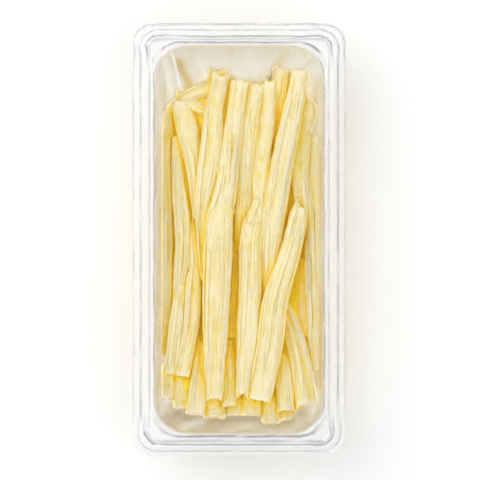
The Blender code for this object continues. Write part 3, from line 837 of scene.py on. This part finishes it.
# Loose fibres that have come away from the strands, along them and at their torn ends
fibreForm = {
    "seed": 23,
    "fine": {"count": 460, "length": (5, 22), "width": (0.25, 0.75), "tone": (-0.35, 0.05), "drift": 0.35,
             "flat": 0.6, "rings": 14, "sides": 6, "lift": (0.05, 0.9)},
    "bundles": {"count": 170, "length": (16, 62), "width": (0.9, 2.3), "tone": (-0.30, 0.16), "drift": 0.22,
                "flat": 0.42, "rings": 30, "sides": 10, "lift": (0.05, 0.6)},
    "taper": (7, 0.12, 0.6),        # how fast a fibre thins towards its ends, least thickness, power
    "out": 0.25,                    # how far out of its strand it lies, in half widths
    "grainShift": 300,
    "upperSide": (0.04, 0.46),      # part of the way round a strand
    "bare": (16, 6, 8),             # rings of a strand without fibres: in all, at its top, at its foot
    "shortest": 5,
    "loose": (0.3, 0.2, 0.4),       # share of a fibre that lifts off at its foot and top, how much less there
    "root": (12, 18),               # where fibres that stick out of a torn end begin, in rings
    "tornSide": (0.02, 0.48),
    "tornReach": (0.3, 1.0),
    "stray": ((-0.5, 0.5), (-0.5, 0.15)),
    # torn ends: strand, which end, how many fibres stick out, how far
    "torn": (("topFringe", 0, 16, 2.6), ("besideLongLeft", 0, 14, 2.2), ("crossingRight", 0, 12, 2.4),
             ("middleRight", -1, 16, 2.4), ("longLeft", -1, 8, 1.2), ("middle", 0, 8, 1.0),
             ("middleFoot", -1, 8, 1.4), ("behindRight", 0, 5, 0.8), ("topFlap", 0, 8, 1.6)),
}


def fibreTube(line, outward, form, draw):  # a flattened thread along a line, tapered at both ends
    width = draw.uniform(*form["width"])
    t = np.linspace(0, 1, len(line))
    rate, least, power = fibreForm["taper"]
    radius = width / 2 * np.clip(np.minimum(t, 1 - t) * rate, least, 1) ** power
    line = line + outward * (fibreForm["out"] * radius)[:, None]
    along = np.gradient(line, axis=0)
    along /= np.linalg.norm(along, axis=1)[:, None]
    side = np.cross(along, outward)
    side /= np.linalg.norm(side, axis=1)[:, None]
    angle = 2 * math.pi * np.arange(form["sides"]) / form["sides"]
    tube = line[:, None] + side[:, None] * (radius[:, None] * np.cos(angle))[..., None]
    tube = tube + outward[:, None] * (form["flat"] * radius[:, None] * np.sin(angle))[..., None]
    place = tube[..., [1, 0, 2]] + draw.uniform(0, fibreForm["grainShift"])
    tone = draw.uniform(*form["tone"])
    return {"rings": pressIn(tube), "cut": np.zeros(len(line)), "place": place, "tone": tone}


def surfaceLine(strand, row, column):  # points on a strand's surface, and the way out of it there
    rings = strand["rings"]
    columns = rings.shape[1]
    r, c = row.astype(int), column.astype(int) % columns
    middle = rings[r].mean(axis=1)
    line = rings[r, c] + (rings[r + 1, c] - rings[r, c]) * (row - r)[:, None]
    line += (rings[r, (c + 1) % columns] - rings[r, c]) * (column - np.floor(column))[:, None]
    outward = line - middle
    outward /= np.linalg.norm(outward, axis=1)[:, None]
    return line, outward


def fibresAlong(strands, form, draw):
    weights = [len(strand["rings"]) for strand in strands]
    bare, bareTop, bareFoot = fibreForm["bare"]
    looseFoot, looseTop, less = fibreForm["loose"]
    for _ in range(form["count"]):
        strand = draw.choices(strands, weights)[0]
        rows, columns = strand["rings"].shape[:2]
        span = min(draw.uniform(*form["length"]) / strandForm["step"], rows - bare)
        if span < fibreForm["shortest"]:
            continue
        first = draw.uniform(bareTop, rows - bareFoot - span)
        row = np.linspace(first, first + span, form["rings"])
        bend = np.linspace(-1, 1, form["rings"]) * draw.uniform(-1, 1) * form["drift"] * columns / 12
        line, outward = surfaceLine(strand, row, columns * draw.uniform(*fibreForm["upperSide"]) + bend)
        t = np.linspace(0, 1, form["rings"])
        loose = draw.uniform(*form["lift"]) ** 2
        lift = loose * np.clip((t - (1 - looseFoot)) / looseFoot, 0, 1) ** 2
        lift += less * loose * np.clip((looseTop - t) / looseTop, 0, 1) ** 2
        yield fibreTube(line + outward * lift[:, None], outward, form, draw)


def fibresAtEnds(strands, form, draw):
    byName = {strand["name"]: strand for strand in strands}
    for name, end, count, reach in fibreForm["torn"]:
        strand = byName[name]
        rows, columns = strand["rings"].shape[:2]
        for _ in range(count):
            first = draw.uniform(*fibreForm["root"])
            row = np.linspace(first, len(strandForm["capRings"]) + 1, form["rings"] // 2)
            if end:
                row = rows - 2 - row
            column = np.full(len(row), columns * draw.uniform(*fibreForm["tornSide"]))
            line, outward = surfaceLine(strand, row, column)
            along = line[-1] - line[-3]
            along /= np.linalg.norm(along)
            sideways, upward = fibreForm["stray"]
            stray = np.array([draw.uniform(*sideways), 0, draw.uniform(*upward)])
            far = draw.uniform(*fibreForm["tornReach"]) * reach
            far = np.linspace(0, far, form["rings"] // 2 + 1)[1:, None]
            line = np.vstack([line, line[-1] + far * along + far ** 2 / reach * stray])
            outward = np.vstack([outward, np.repeat(outward[-1:], len(far), axis=0)])
            yield fibreTube(line, outward, form, draw)


def buildFibres(strands, material):
    draw = random.Random(fibreForm["seed"])
    fine, bundles = fibreForm["fine"], fibreForm["bundles"]
    threads = list(fibresAlong(strands, fine, draw)) + list(fibresAtEnds(strands, fine, draw))
    bindStrands("looseFibres", threads, material, maps)
    bindStrands("looseBundles", list(fibresAlong(strands, bundles, draw)), material, maps)


buildFibres(groups["topStrands"] + groups["sideStrands"], cheese)


# The tray. Inset from the outer edge, height, corner radius and haze, from the hem of the skirt to the floor.
# The haze on the rim is partly milky plastic, partly painted light that keeps the rim white over the shaded
# floor
trayForm = {
    "profile": [
        (0.0, 25.8, 8.5, 0.20), (0.3, 28.0, 8.5, 0.26), (0.9, 28.6, 8.5, 0.24), (2.8, 28.6, 8.5, 0.22),
        (3.5, 29.7, 8.5, 0.20), (4.1, 30.0, 8.5, 0.30), (5.8, 30.0, 4.5, 0.30), (6.4, 29.6, 4.5, 0.26),
        (7.0, 29.0, 4.5, 0.26), (8.6, 29.0, 15, 0.26), (9.2, 28.4, 15, 0.12), (9.6, 26.8, 15, 0.05),
        (13.4, 4.2, 11, 0.04), (14.3, 2.0, 10, 0.05), (16.2, 0.6, 8, 0.05), (20.0, 0.6, 6, 0.04),
    ],
    "fillet": 0.40,
    "rimStep": 0.2,         # between rings of the rim
    "rimEnd": 9.4,
    # painted grey lines that stand in for light bent at the steps of the rim: inset, half width, strength
    "sideLines": ((0.2, 0.18, 0.30), (3.3, 0.20, 0.42), (4.0, 0.15, 0.16), (6.9, 0.20, 0.32),
                  (8.9, 0.17, 0.5)),
    "topLines": ((0.5, 0.2, 0.40), (2.9, 0.2, 0.48), (5.5, 0.2, 0.50), (6.7, 0.6, 0.16), (8.1, 0.24, 0.58)),
    "bottomLines": ((1.9, 0.2, 0.36), (4.9, 0.24, 0.52), (6.2, 0.5, 0.20), (8.3, 0.45, 0.46)),
    "cornerSwirls": ((1.3, 0.16, 0.16), (2.4, 0.16, 0.18), (5.0, 0.16, 0.16), (5.8, 0.16, 0.22),
                     (8.1, 0.2, 0.16)),
    "cornerSteps": 16,
    "sideStep": 2.5,
    "wall": 0.6,
    # unevenness: size, how many along the profile and round the tray
    "ripples": ((0.10, 6, 90), (0.06, 9, 170)),
    "breaks": ((0.35, 20, 60), (0.2, 30, 150)),
    "wobbles": ((0.16, 3, 70), (0.10, 5, 190)),
    "rippleHeights": (26, 28.5),
    "cornerRange": (26, 34, 76, 84),    # x and y between which the corners begin
    "endRange": (22, 9),                # how far from each end its lines begin and hold alone
    "cornerWobble": 1.5,
    "lineStrength": 0.75,
    "bendLine": (0.8, 0.05),            # sharp turns of the profile get a painted grey line too
    "hazeChange": (0.8, 1.2),           # how much unevenness and lines change the haze
    # white of the clear body, and grey of the painted lines
    "tint": (0.96, 0.965, 0.975, 1),
    "lineTint": (0.36, 0.37, 0.39, 1),
    "lineShare": 4,
    "gloss": (0.04, 0.06),              # seen straight on, and its roughness
    "dentDepth": 0.2 * mm,
    "seed": 3,
}


def filleted(stations, reach):  # each turn of the profile rounded off
    known = np.array(stations, float)
    result = [known[0]]
    for before, here, after in zip(known, known[1:], known[2:]):
        for t in (0.0, 0.33, 0.67, 1.0):
            toBefore = min(reach, 0.45 * np.linalg.norm((before - here)[:2]))
            toAfter = min(reach, 0.45 * np.linalg.norm((after - here)[:2]))
            start = here + (before - here) * toBefore / np.linalg.norm((before - here)[:2])
            end = here + (after - here) * toAfter / np.linalg.norm((after - here)[:2])
            result.append((1 - t) ** 2 * start + 2 * t * (1 - t) * here + t ** 2 * end)
    result.append(known[-1])
    return np.array(result)


def roundedPath(inset, corner, form):  # points round a rounded rectangle
    halfWidth = trayInside["halfWidth"] - inset
    halfLength = trayInside["halfLength"] - inset
    points = []
    for quarter, (signX, signY) in enumerate(((1, 1), (-1, 1), (-1, -1), (1, -1))):
        centre = (signX * (halfWidth - corner), signY * (halfLength - corner))
        for step in range(form["cornerSteps"] + 1):
            angle = math.pi / 2 * (quarter + step / form["cornerSteps"])
            points.append((centre[0] + corner * math.cos(angle), centre[1] + corner * math.sin(angle)))
        across = quarter % 2 == 0
        side = 2 * (halfWidth - corner) if across else 2 * (halfLength - corner)
        full = trayInside["halfWidth"] if across else trayInside["halfLength"]
        pieces = round(2 * full / form["sideStep"])
        start = np.array(points[-1])
        move = np.array((-signX * side, 0) if across else (0, -signY * side))
        for k in range(1, pieces):
            points.append(tuple(start + move * k / pieces))
    return np.array(points)


def trayTint(finish):
    line = finish.attribute("line", 2)
    return finish.blend(finish.clip(line * trayForm["lineShare"]), trayForm["tint"], trayForm["lineTint"])


# Clear plastic of the tray and the film
clearForm = {
    "dents": (160, 3),      # scale and detail
    "dentStrength": 0.3,
    "roughness": 0.25,
    "edgeGloss": 0.8,       # where it is seen edge on
    "edgePower": 5,
}


def clearFinish(name, tint, hazeName, form):
    finish = Finish(name)
    straightGloss, glossRoughness = form["gloss"]
    dents = finish.noise(finish.node("ShaderNodeTexCoord", None, None, 3), *clearForm["dents"])
    bump = finish.node("ShaderNodeBump", None, {
        "Strength": clearForm["dentStrength"],
        "Distance": form["dentDepth"],
        "Height": dents,
    })
    clear = finish.node("ShaderNodeBsdfTransparent", None, {"Color": (1, 1, 1, 1)})
    body = finish.node("ShaderNodeBsdfPrincipled", None, {
        "Base Color": tint(finish),
        "Roughness": clearForm["roughness"],
        "Normal": bump,
    })
    gloss = finish.node("ShaderNodeBsdfGlossy", None, {
        "Color": (1, 1, 1, 1),
        "Roughness": glossRoughness,
        "Normal": bump,
    })
    haze = finish.clip(finish.attribute(hazeName, 2))
    sheet = finish.node("ShaderNodeMixShader", None, {0: haze, 1: clear, 2: body})
    facing = finish.node("ShaderNodeLayerWeight", None, {"Blend": 0.5, "Normal": bump}, 1)
    share = straightGloss + (clearForm["edgeGloss"] - straightGloss) * facing ** clearForm["edgePower"]
    return finish.show(finish.node("ShaderNodeMixShader", None, {0: share, 1: sheet, 2: gloss}))


def subdivided(stations, step, end):  # more rings where the rim is
    result = [stations[0]]
    for before, after in zip(stations, stations[1:]):
        pieces = max(1, round((after[0] - before[0]) / step)) if before[0] < end else 1
        for k in range(1, pieces + 1):
            result.append(before + (after - before) * k / pieces)
    return np.array(result)


def linesAt(points, wobble, lines):  # each line runs round the tray at its own inset and corner radius
    insets, corners = zip(*((inset, corner) for inset, _, corner, _ in trayForm["profile"]))
    total = 0
    for place, width, strength in lines:
        halfWidth = trayInside["halfWidth"] - place
        halfLength = trayInside["halfLength"] - place
        corner = np.interp(place, insets, corners)
        away = beyondEdge(points[..., 0], points[..., 1], halfWidth, halfLength, corner) + wobble
        total = total + strength * np.exp(-(away / width) ** 2)
    return total


def bendsOf(stations, rate):  # how sharply the profile turns at each ring
    legs = np.diff(stations[:, :2], axis=0)
    gaps = np.linalg.norm(legs, axis=1)
    turns = np.abs(np.angle(np.exp(1j * np.diff(np.arctan2(legs[:, 1], legs[:, 0])))))
    return np.pad(np.clip(turns / (gaps[1:] + gaps[:-1]) * rate, 0, 1), 1)


def trayLines(points, wobble, form):  # the grey lines of each side and of the corners
    left, right, low, high = form["cornerRange"]
    atCorner = ramp(np.abs(points[..., 1]), low, high) * ramp(np.abs(points[..., 0]), left, right)
    wobble = wobble * (1 + form["cornerWobble"] * atCorner)
    begin, alone = (trayInside["halfLength"] - distance for distance in form["endRange"])
    nearTop = ramp(points[..., 1], begin, alone)
    nearBottom = ramp(-points[..., 1], begin, alone)
    lines = linesAt(points, wobble, form["sideLines"]) * (1 - nearTop - nearBottom)
    lines += linesAt(points, wobble, form["topLines"]) * nearTop
    lines += linesAt(points, wobble, form["bottomLines"]) * nearBottom
    lines += linesAt(points, 2 * wobble, form["cornerSwirls"]) * atCorner
    return lines, wobble


def buildTray():
    form = trayForm
    draw = random.Random(form["seed"])
    stations = subdivided(filleted(form["profile"], form["fillet"]), form["rimStep"], form["rimEnd"])
    paths = [roundedPath(inset, corner, form) for inset, _, corner, _ in stations]
    rows, columns = len(stations), len(paths[0])
    points = np.zeros((rows, columns, 3))
    points[..., :2] = paths
    points[..., 2] = stations[:, 1][:, None]
    rim = ramp(stations[:, 1], *form["rippleHeights"])
    points[..., 2] += layered(draw, rows, columns, form["ripples"]) * rim[:, None]
    broken = form["lineStrength"] + layered(draw, rows, columns, form["breaks"])
    rate, bendShare = form["bendLine"]
    bend = np.clip(bendsOf(stations, rate)[:, None] * broken, 0, 1)
    lines, wobble = trayLines(points, layered(draw, rows, columns, form["wobbles"]), form)
    # painted grey lines: at the steps of the rim, at sharp turns, and swirling at the corners
    line = np.clip(lines * broken + bendShare * bend, 0, 1)
    swing, fromLine = form["hazeChange"]
    haze = np.clip(stations[:, 3][:, None] * (1 + swing * wobble) + fromLine * line, 0, 1)
    faces = gridFaces(rows, columns, True).tolist()
    last = (rows - 1) * columns
    faces.append(list(range(last, last + columns)))
    material = clearFinish("trayPlastic", trayTint, "haze", form)
    piece = meshPiece("trayShell", points.reshape(-1, 3), faces, material,
                      {"haze": haze, "line": line})
    wall = piece.modifiers.new("wall", "SOLIDIFY")
    wall.thickness = form["wall"] * mm
    wall.offset = -1
    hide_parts("tray")
    print("trayShell has", 2 * len(faces), "triangles a side")
    return piece


buildTray()


# The film. It is pinned on the tray's land, drawn down inside, and held up by the heap
filmForm = {
    "halfWidth": 39.1,
    "halfLength": 87.6,
    "corner": 16.2,
    "opening": (37.9, 86.4, 15.0),
    "cell": 0.62,
    "seal": 29.12,
    "thickness": 0.10,
    "veil": 0.80,           # how much it hides where it hangs clear of the food: partly the film's haze, partly a painted sheet of shade and of the cheese's reflection
    "veilEdge": (0.12, 0.88),
    "cover": (13.5, 4, 8),  # where it touches the food: least height, holes filled, passes of blur
    "support": (5, 8),      # what holds it up: how far food is felt round itself in cells, passes of blur
    "near": (40, 0.10, 0.60),    # round the food: passes of blur, from and to what share
    "pinned": -0.3,         # how far inside the opening it is still pinned
    "inside": (0.2, 2.5),   # how far inside the opening veil and folds begin and are full
    "sideRange": (31, 34.5),
    "sideLength": (80, 62),
    "footRange": (70, 78),
    # how tan it is: near the food and at the sides, more at the right one, a painted reflection of the
    # cheese; at the foot, painted shade
    "tan": (0.38, 0.42, 0.22, 0.46),
    "tanPatches": (0.10, 0.35, 9, 62),
    "tanWaves": ((0.18, 40, 18),),
    # painted shade: how dark its foot is, all of it, in a painted shadow just past the food, and in patches;
    # and its right side
    "filmShade": (0.40, 0.50, 0.14, 0.06),
    "filmShadePatches": (60, 6),
    "foldSway": (0.4, 4),
    "foldStart": (-0.1, 0.15),
    "foldEnd": (1.1, 0.8),
    # the tints: plain for the film's haze and painted shade, tan for a painted reflection of the cheese and
    # painted shade, the darker one for painted shade, pale for painted highlights on the folds
    "tints": {
        "plain": (0.84, 0.79, 0.66, 1),
        "tan": (0.72, 0.55, 0.24, 1),
        "filmShade": (0.40, 0.33, 0.19, 1),
        "pale": (0.97, 0.955, 0.90, 1),
    },
    "gloss": (0.004, 0.12),
    "dentDepth": 0.15 * mm,
    "pull": 0.114,          # how hard it is drawn down, per mm
    "clear": 0.30,
    "passes": 1700,
    "seed": 9,
    # folds: from x, y to x, y, half width, height, and its painted highlight (more than 0) or painted shade
    # in tan (less)
    "folds": [
        (-30.0, 82.5, -24.6, 64.0, 0.5, 0.9, 1.7),
        (-32.5, 80.0, -29.5, 62.0, 1.6, 0.7, 0.7),
        (-27.2, 80.0, -21.6, 66.0, 2.3, -0.6, -1.2),
        (-18.0, 79.0, -12.5, 65.0, 2.0, 0.6, 0.4),
        (-36.5, 70.0, -33.5, 48.0, 1.2, 0.5, 0.4),
        (4.0, 84.0, 9.0, 72.0, 3.0, 0.4, 0.2),
        (20.0, 84.0, 17.0, 76.0, 2.4, -0.5, -0.4),
        (35.0, 70.0, 34.0, 50.0, 1.4, 0.5, -0.3),
        (-35.0, -78.0, -30.0, -66.0, 1.4, 0.6, 0.4),
        (-26.0, -83.0, -14.0, -80.0, 1.6, 0.6, 0.4),
        (-8.0, -84.5, 6.0, -82.5, 1.2, 0.5, 0.3),
        (10.0, -83.5, 26.0, -84.5, 1.4, 0.5, 0.2),
        (31.0, -80.0, 35.5, -66.0, 1.4, 0.6, 0.3),
    ],
}


def filmTint(finish):
    tints = filmForm["tints"]
    colour = tints["plain"]
    for name in ("tan", "filmShade", "pale"):
        colour = finish.blend(finish.clip(finish.attribute(name, 2)), colour, tints[name])
    return colour


def filmGrid(form):  # an even grid, drawn in to the sheet's rounded corners
    columns = round(2 * form["halfWidth"] / form["cell"]) + 1
    rows = round(2 * form["halfLength"] / form["cell"]) + 1
    x, y = np.meshgrid(np.linspace(-form["halfWidth"], form["halfWidth"], columns),
                       np.linspace(-form["halfLength"], form["halfLength"], rows))
    innerX, innerY = form["halfWidth"] - form["corner"], form["halfLength"] - form["corner"]
    overX = np.maximum(np.abs(x) - innerX, 0)
    overY = np.maximum(np.abs(y) - innerY, 0)
    both = (overX > 0) & (overY > 0)
    shrink = np.maximum(overX, overY) / np.maximum(np.hypot(overX, overY), 1e-9)
    x = np.where(both, np.sign(x) * (innerX + overX * shrink), x)
    y = np.where(both, np.sign(y) * (innerY + overY * shrink), y)
    return x, y


def hang(low, pinned, form):  # the sheet sinks between its pinned edge and what holds it up
    height = np.full(low.shape, form["seal"])
    drop = form["pull"] * form["cell"] ** 2 / 4
    for _ in range(form["passes"]):
        level = (height[:-2, 1:-1] + height[2:, 1:-1] + height[1:-1, :-2] + height[1:-1, 2:]) / 4
        height[1:-1, 1:-1] = np.maximum(low[1:-1, 1:-1], level - drop)
        height[pinned] = form["seal"]
    return height


def foldCrests(x, y, form):  # where each fold is, how high it rises and its painted highlight, or below 0 its painted shade
    sway, turns = form["foldSway"]
    for startX, startY, endX, endY, width, rise, foldHighlightAndShade in form["folds"]:
        length = math.hypot(endX - startX, endY - startY)
        alongX, alongY = (endX - startX) / length, (endY - startY) / length
        t = ((x - startX) * alongX + (y - startY) * alongY) / length
        off = (x - startX) * alongY - (y - startY) * alongX + sway * np.sin(turns * t + startX)
        fade = ramp(t, *form["foldStart"]) * ramp(t, *form["foldEnd"])
        yield np.exp(-(off / width) ** 2) * fade, rise, foldHighlightAndShade


def buildFilm(heights):
    form = filmForm
    draw = random.Random(form["seed"])
    x, y = filmGrid(form)
    rows, columns = x.shape
    beyond = beyondEdge(x, y, *form["opening"])
    pinned = beyond > form["pinned"]
    reach, passes = form["support"]
    low = readMap(blurred(grown(heights, reach), passes), x, y) + form["clear"]
    low = np.where(pinned, form["seal"], np.minimum(low, form["seal"]))
    height = hang(low, pinned, form)
    covered = coverMap(heights, *form["cover"])
    passes, least, most = form["near"]
    near = ramp(readMap(blurred(covered, passes), x, y), least, most)
    cover = readMap(covered, x, y)
    # painted shadow: the food's outline moved towards the tray's foot
    paintedShadow = readMap(shiftedBy(covered, -4, 0), x, y) * (1 - cover)
    inside = ramp(-beyond, *form["inside"])
    # partly painted shade and reflection: the veil is a sheet where the film hangs clear of the food
    veil = form["veil"] * (1 - ramp(cover, *form["veilEdge"])) * inside
    sides = ramp(np.abs(x), *form["sideRange"]) * ramp(np.abs(y), *form["sideLength"])
    rightSide = sides * (x > 0)
    foot = ramp(-y, *form["footRange"])
    tan = sum(share * where for share, where in zip(form["tan"], (near, sides, rightSide, foot)))
    usual, past, patchy, right = form["filmShade"]
    filmShade = usual + past * paintedShadow + patchy * patchwork(draw, rows, columns, *form["filmShadePatches"])
    filmShade = foot * filmShade + right * rightSide
    usual, more, down, across = form["tanPatches"]
    tan += (usual + more * sides) * patchwork(draw, rows, columns, down, across)
    tan += layered(draw, rows, columns, form["tanWaves"])
    # painted highlights along the folds, and painted shade in tan along those given below 0
    pale = np.zeros_like(x)
    for crest, rise, foldHighlightAndShade in foldCrests(x, y, form):
        height += max(rise, 0) * crest * inside
        pale += max(foldHighlightAndShade, 0) * crest
        tan -= min(foldHighlightAndShade, 0) * crest
    faces = [face[::-1] for face in gridFaces(rows, columns, False).tolist()]
    points = np.stack([x, y, height], axis=-1).reshape(-1, 3)
    material = clearFinish("filmPlastic", filmTint, "veil", form)
    piece = meshPiece("filmSheet", points, faces, material,
                      {"veil": veil, "tan": tan, "pale": pale, "filmShade": filmShade})
    skin = piece.modifiers.new("skin", "SOLIDIFY")
    skin.thickness = form["thickness"] * mm
    skin.offset = 1
    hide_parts("film")
    print("filmSheet has", 2 * len(faces), "triangles a side")
    return piece


buildFilm(heights)


# Floor, lights and camera
studio = {
    "floorSize": 6.0,
    "floorDrop": 0.2 * mm,
    "floorColour": (0.93, 0.93, 0.93, 1),
    "worldStrength": 0.80,
    "lens": 250,
    "sensor": 36,
    "sight": (0.05, 50),
    "photoWidth": 211.2 * mm,      # width of the photo at the height of the tray's rim
    "rimHeight": 29 * mm,
    "aim": (0.33 * mm, -0.2 * mm),
    # lights: place, size and power
    "lights": {
        "keyLight": ((-0.7, 0.55, 1.0), 1.3, 7.0),
        "fillLight": ((0.8, -0.4, 1.1), 1.3, 2.8),
    },
}


def buildStudio():
    scene = bpy.context.scene
    half = studio["floorSize"] / 2
    mesh = bpy.data.meshes.new("floor")
    corners = [(-half, -half, 0), (half, -half, 0), (half, half, 0), (-half, half, 0)]
    mesh.from_pydata(corners, [], [(0, 1, 2, 3)])
    floor = bpy.data.objects.new("floor", mesh)
    scene.collection.objects.link(floor)
    floor.location.z = trayBox[0].z - studio["floorDrop"]
    finish = Finish("paleFloor")
    mesh.materials.append(finish.show(finish.node("ShaderNodeBsdfPrincipled", None, {
        "Base Color": studio["floorColour"],
        "Roughness": 0.9,
        "Specular IOR Level": 0.1,
    })))
    world = bpy.data.worlds.new("softRoom")
    world.use_nodes = True
    world.node_tree.nodes["Background"].inputs["Color"].default_value = (1, 1, 1, 1)
    world.node_tree.nodes["Background"].inputs["Strength"].default_value = studio["worldStrength"]
    scene.world = world
    for name, (place, size, power) in studio["lights"].items():
        light = bpy.data.lights.new(name, "AREA")
        light.shape = "DISK"
        light.size = size
        light.energy = power
        lamp = bpy.data.objects.new(name, light)
        lamp.location = place
        lamp.rotation_euler = (-Vector(place)).to_track_quat("-Z", "Y").to_euler()
        scene.collection.objects.link(lamp)
    camera = bpy.data.cameras.new("camera")
    camera.lens = studio["lens"]
    camera.sensor_width = studio["sensor"]
    camera.clip_start, camera.clip_end = studio["sight"]
    eye = bpy.data.objects.new("camera", camera)
    distance = studio["photoWidth"] * camera.lens / camera.sensor_width
    eye.location = (*studio["aim"], studio["rimHeight"] + distance)
    scene.collection.objects.link(eye)
    scene.camera = eye
    scene.view_settings.view_transform = "Standard"
    scene.view_settings.look = "None"
    scene.cycles.transparent_max_bounces = 32
    scene.cycles.max_bounces = 12


buildStudio()
